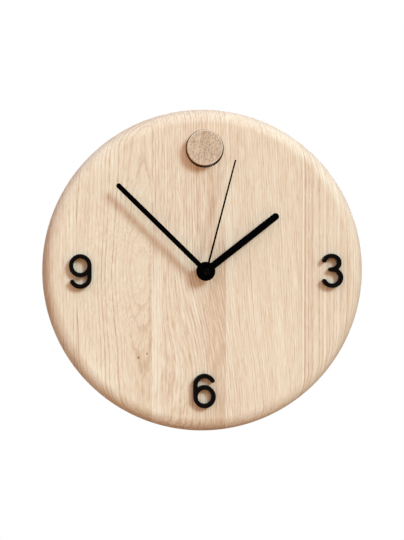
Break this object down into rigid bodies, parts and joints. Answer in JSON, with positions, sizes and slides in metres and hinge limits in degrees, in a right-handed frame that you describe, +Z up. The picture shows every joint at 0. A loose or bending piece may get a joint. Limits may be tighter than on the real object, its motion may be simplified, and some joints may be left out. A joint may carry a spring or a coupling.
{
  "type": "wall clock",
  "caption": "Round oak wall clock with black hands, raised numerals and a quartz movement, hung on a round wall peg that shows through the dial at 12.",
  "frame": {"origin": "the axis of the wall peg where it meets the wall", "axes": "+Z up, +X to the right as the dial is read, +Y into the wall, so the dial looks along -Y"},
  "size_m": [0.22, 0.0766, 0.22],
  "materials": {
    "oak": "soap-finished pale oak, matt",
    "oak_end_grain": "sanded oak, end grain in front",
    "numeral_black": "satin black",
    "hand_black": "aluminium with matt black paint",
    "case_plastic": "moulded black, fine texture",
    "cover_plastic": "moulded black, fine texture",
    "knob_plastic": "moulded black",
    "rubber": "matt rubber",
    "brass": "turned brass",
    "steel": "nickel-plated",
    "rotor_iron": "sintered magnet",
    "stator_iron": "stamped sheet",
    "wheel_plastic": "moulded white",
    "copper": "enamelled copper wire",
    "board_green": "solder resist",
    "chip_black": "epoxy",
    "cell_jacket": "plain printed jacket"
  },
  "bodies": {
    "peg": {"wall_peg": "oak_end_grain", "peg_hanger_bolt": "steel"},
    "clock": {"oak_stave_1": "oak", "oak_stave_2": "oak", "oak_stave_3": "oak", "oak_stave_4": "oak", "oak_stave_5": "oak", "numeral_three": "numeral_black", "numeral_six": "numeral_black", "numeral_nine": "numeral_black", "movement_case_front": "case_plastic", "movement_case_cover": "cover_plastic", "rubber_washer": "rubber", "brass_washer": "brass", "fixing_nut": "brass", "bridge_plate": "wheel_plastic", "stator": "stator_iron", "coil_core": "stator_iron", "coil_bobbin": "wheel_plastic", "coil_winding": "copper", "circuit_board": "board_green", "quartz_crystal": "steel", "driver_chip": "chip_black", "contact_positive": "steel", "contact_negative": "steel"},
    "battery": {"battery_cell": "cell_jacket"},
    "second": {"second_wheel": "wheel_plastic", "second_hand": "hand_black"},
    "rotor": {"stepper_rotor": "rotor_iron"},
    "fifth": {"fifth_wheel": "wheel_plastic"},
    "third": {"third_wheel": "wheel_plastic"},
    "centre": {"centre_wheel": "wheel_plastic"},
    "minute": {"minute_arbor": "brass", "minute_hand": "hand_black", "clutch_spring": "steel"},
    "motion": {"motion_wheel": "wheel_plastic"},
    "hour": {"hour_wheel": "wheel_plastic", "hour_hand": "hand_black"},
    "setting": {"setting_knob": "knob_plastic"}
  },
  "joints": [
    {"name": "lift_off", "type": "slide", "parent": "peg", "child": "clock", "axis": [0, -1, 0], "range_m": [0, 0.045]},
    {"name": "battery_out", "type": "slide", "parent": "clock", "child": "battery", "axis": [0, 1, 0], "range_m": [0, 0.02]},
    {"name": "second_turn", "type": "hinge", "parent": "clock", "child": "second", "pos_m": [0.0004, 0, -0.08345], "axis": [0, 1, 0], "continuous": true},
    {"name": "rotor_turn", "type": "hinge", "parent": "clock", "child": "rotor", "pos_m": [-0.0031, 0, -0.07019], "axis": [0, 1, 0], "continuous": true},
    {"name": "fifth_turn", "type": "hinge", "parent": "clock", "child": "fifth", "pos_m": [0.0004, 0, -0.07625], "axis": [0, 1, 0], "continuous": true},
    {"name": "third_turn", "type": "hinge", "parent": "clock", "child": "third", "pos_m": [-0.00681, 0, -0.07623], "axis": [0, 1, 0], "continuous": true},
    {"name": "centre_turn", "type": "hinge", "parent": "clock", "child": "centre", "pos_m": [0.0004, 0, -0.08345], "axis": [0, 1, 0], "continuous": true},
    {"name": "minute_turn", "type": "hinge", "parent": "clock", "child": "minute", "pos_m": [0.0004, 0, -0.08345], "axis": [0, 1, 0], "continuous": true},
    {"name": "motion_turn", "type": "hinge", "parent": "clock", "child": "motion", "pos_m": [0.00804, 0, -0.07581], "axis": [0, 1, 0], "continuous": true},
    {"name": "hour_turn", "type": "hinge", "parent": "clock", "child": "hour", "pos_m": [0.0004, 0, -0.08345], "axis": [0, 1, 0], "continuous": true},
    {"name": "setting_turn", "type": "hinge", "parent": "clock", "child": "setting", "pos_m": [0.01782, 0, -0.07125], "axis": [0, 1, 0], "continuous": true}
  ],
  "couplings": [
    {"joint": "fifth_turn", "follows": "second_turn", "ratio": -5},
    {"joint": "rotor_turn", "follows": "second_turn", "ratio": 30},
    {"joint": "third_turn", "follows": "second_turn", "ratio": -0.125},
    {"joint": "centre_turn", "follows": "second_turn", "ratio": 0.016667},
    {"joint": "motion_turn", "follows": "minute_turn", "ratio": -0.33333},
    {"joint": "hour_turn", "follows": "minute_turn", "ratio": 0.083333},
    {"joint": "setting_turn", "follows": "minute_turn", "ratio": 1}
  ]
}
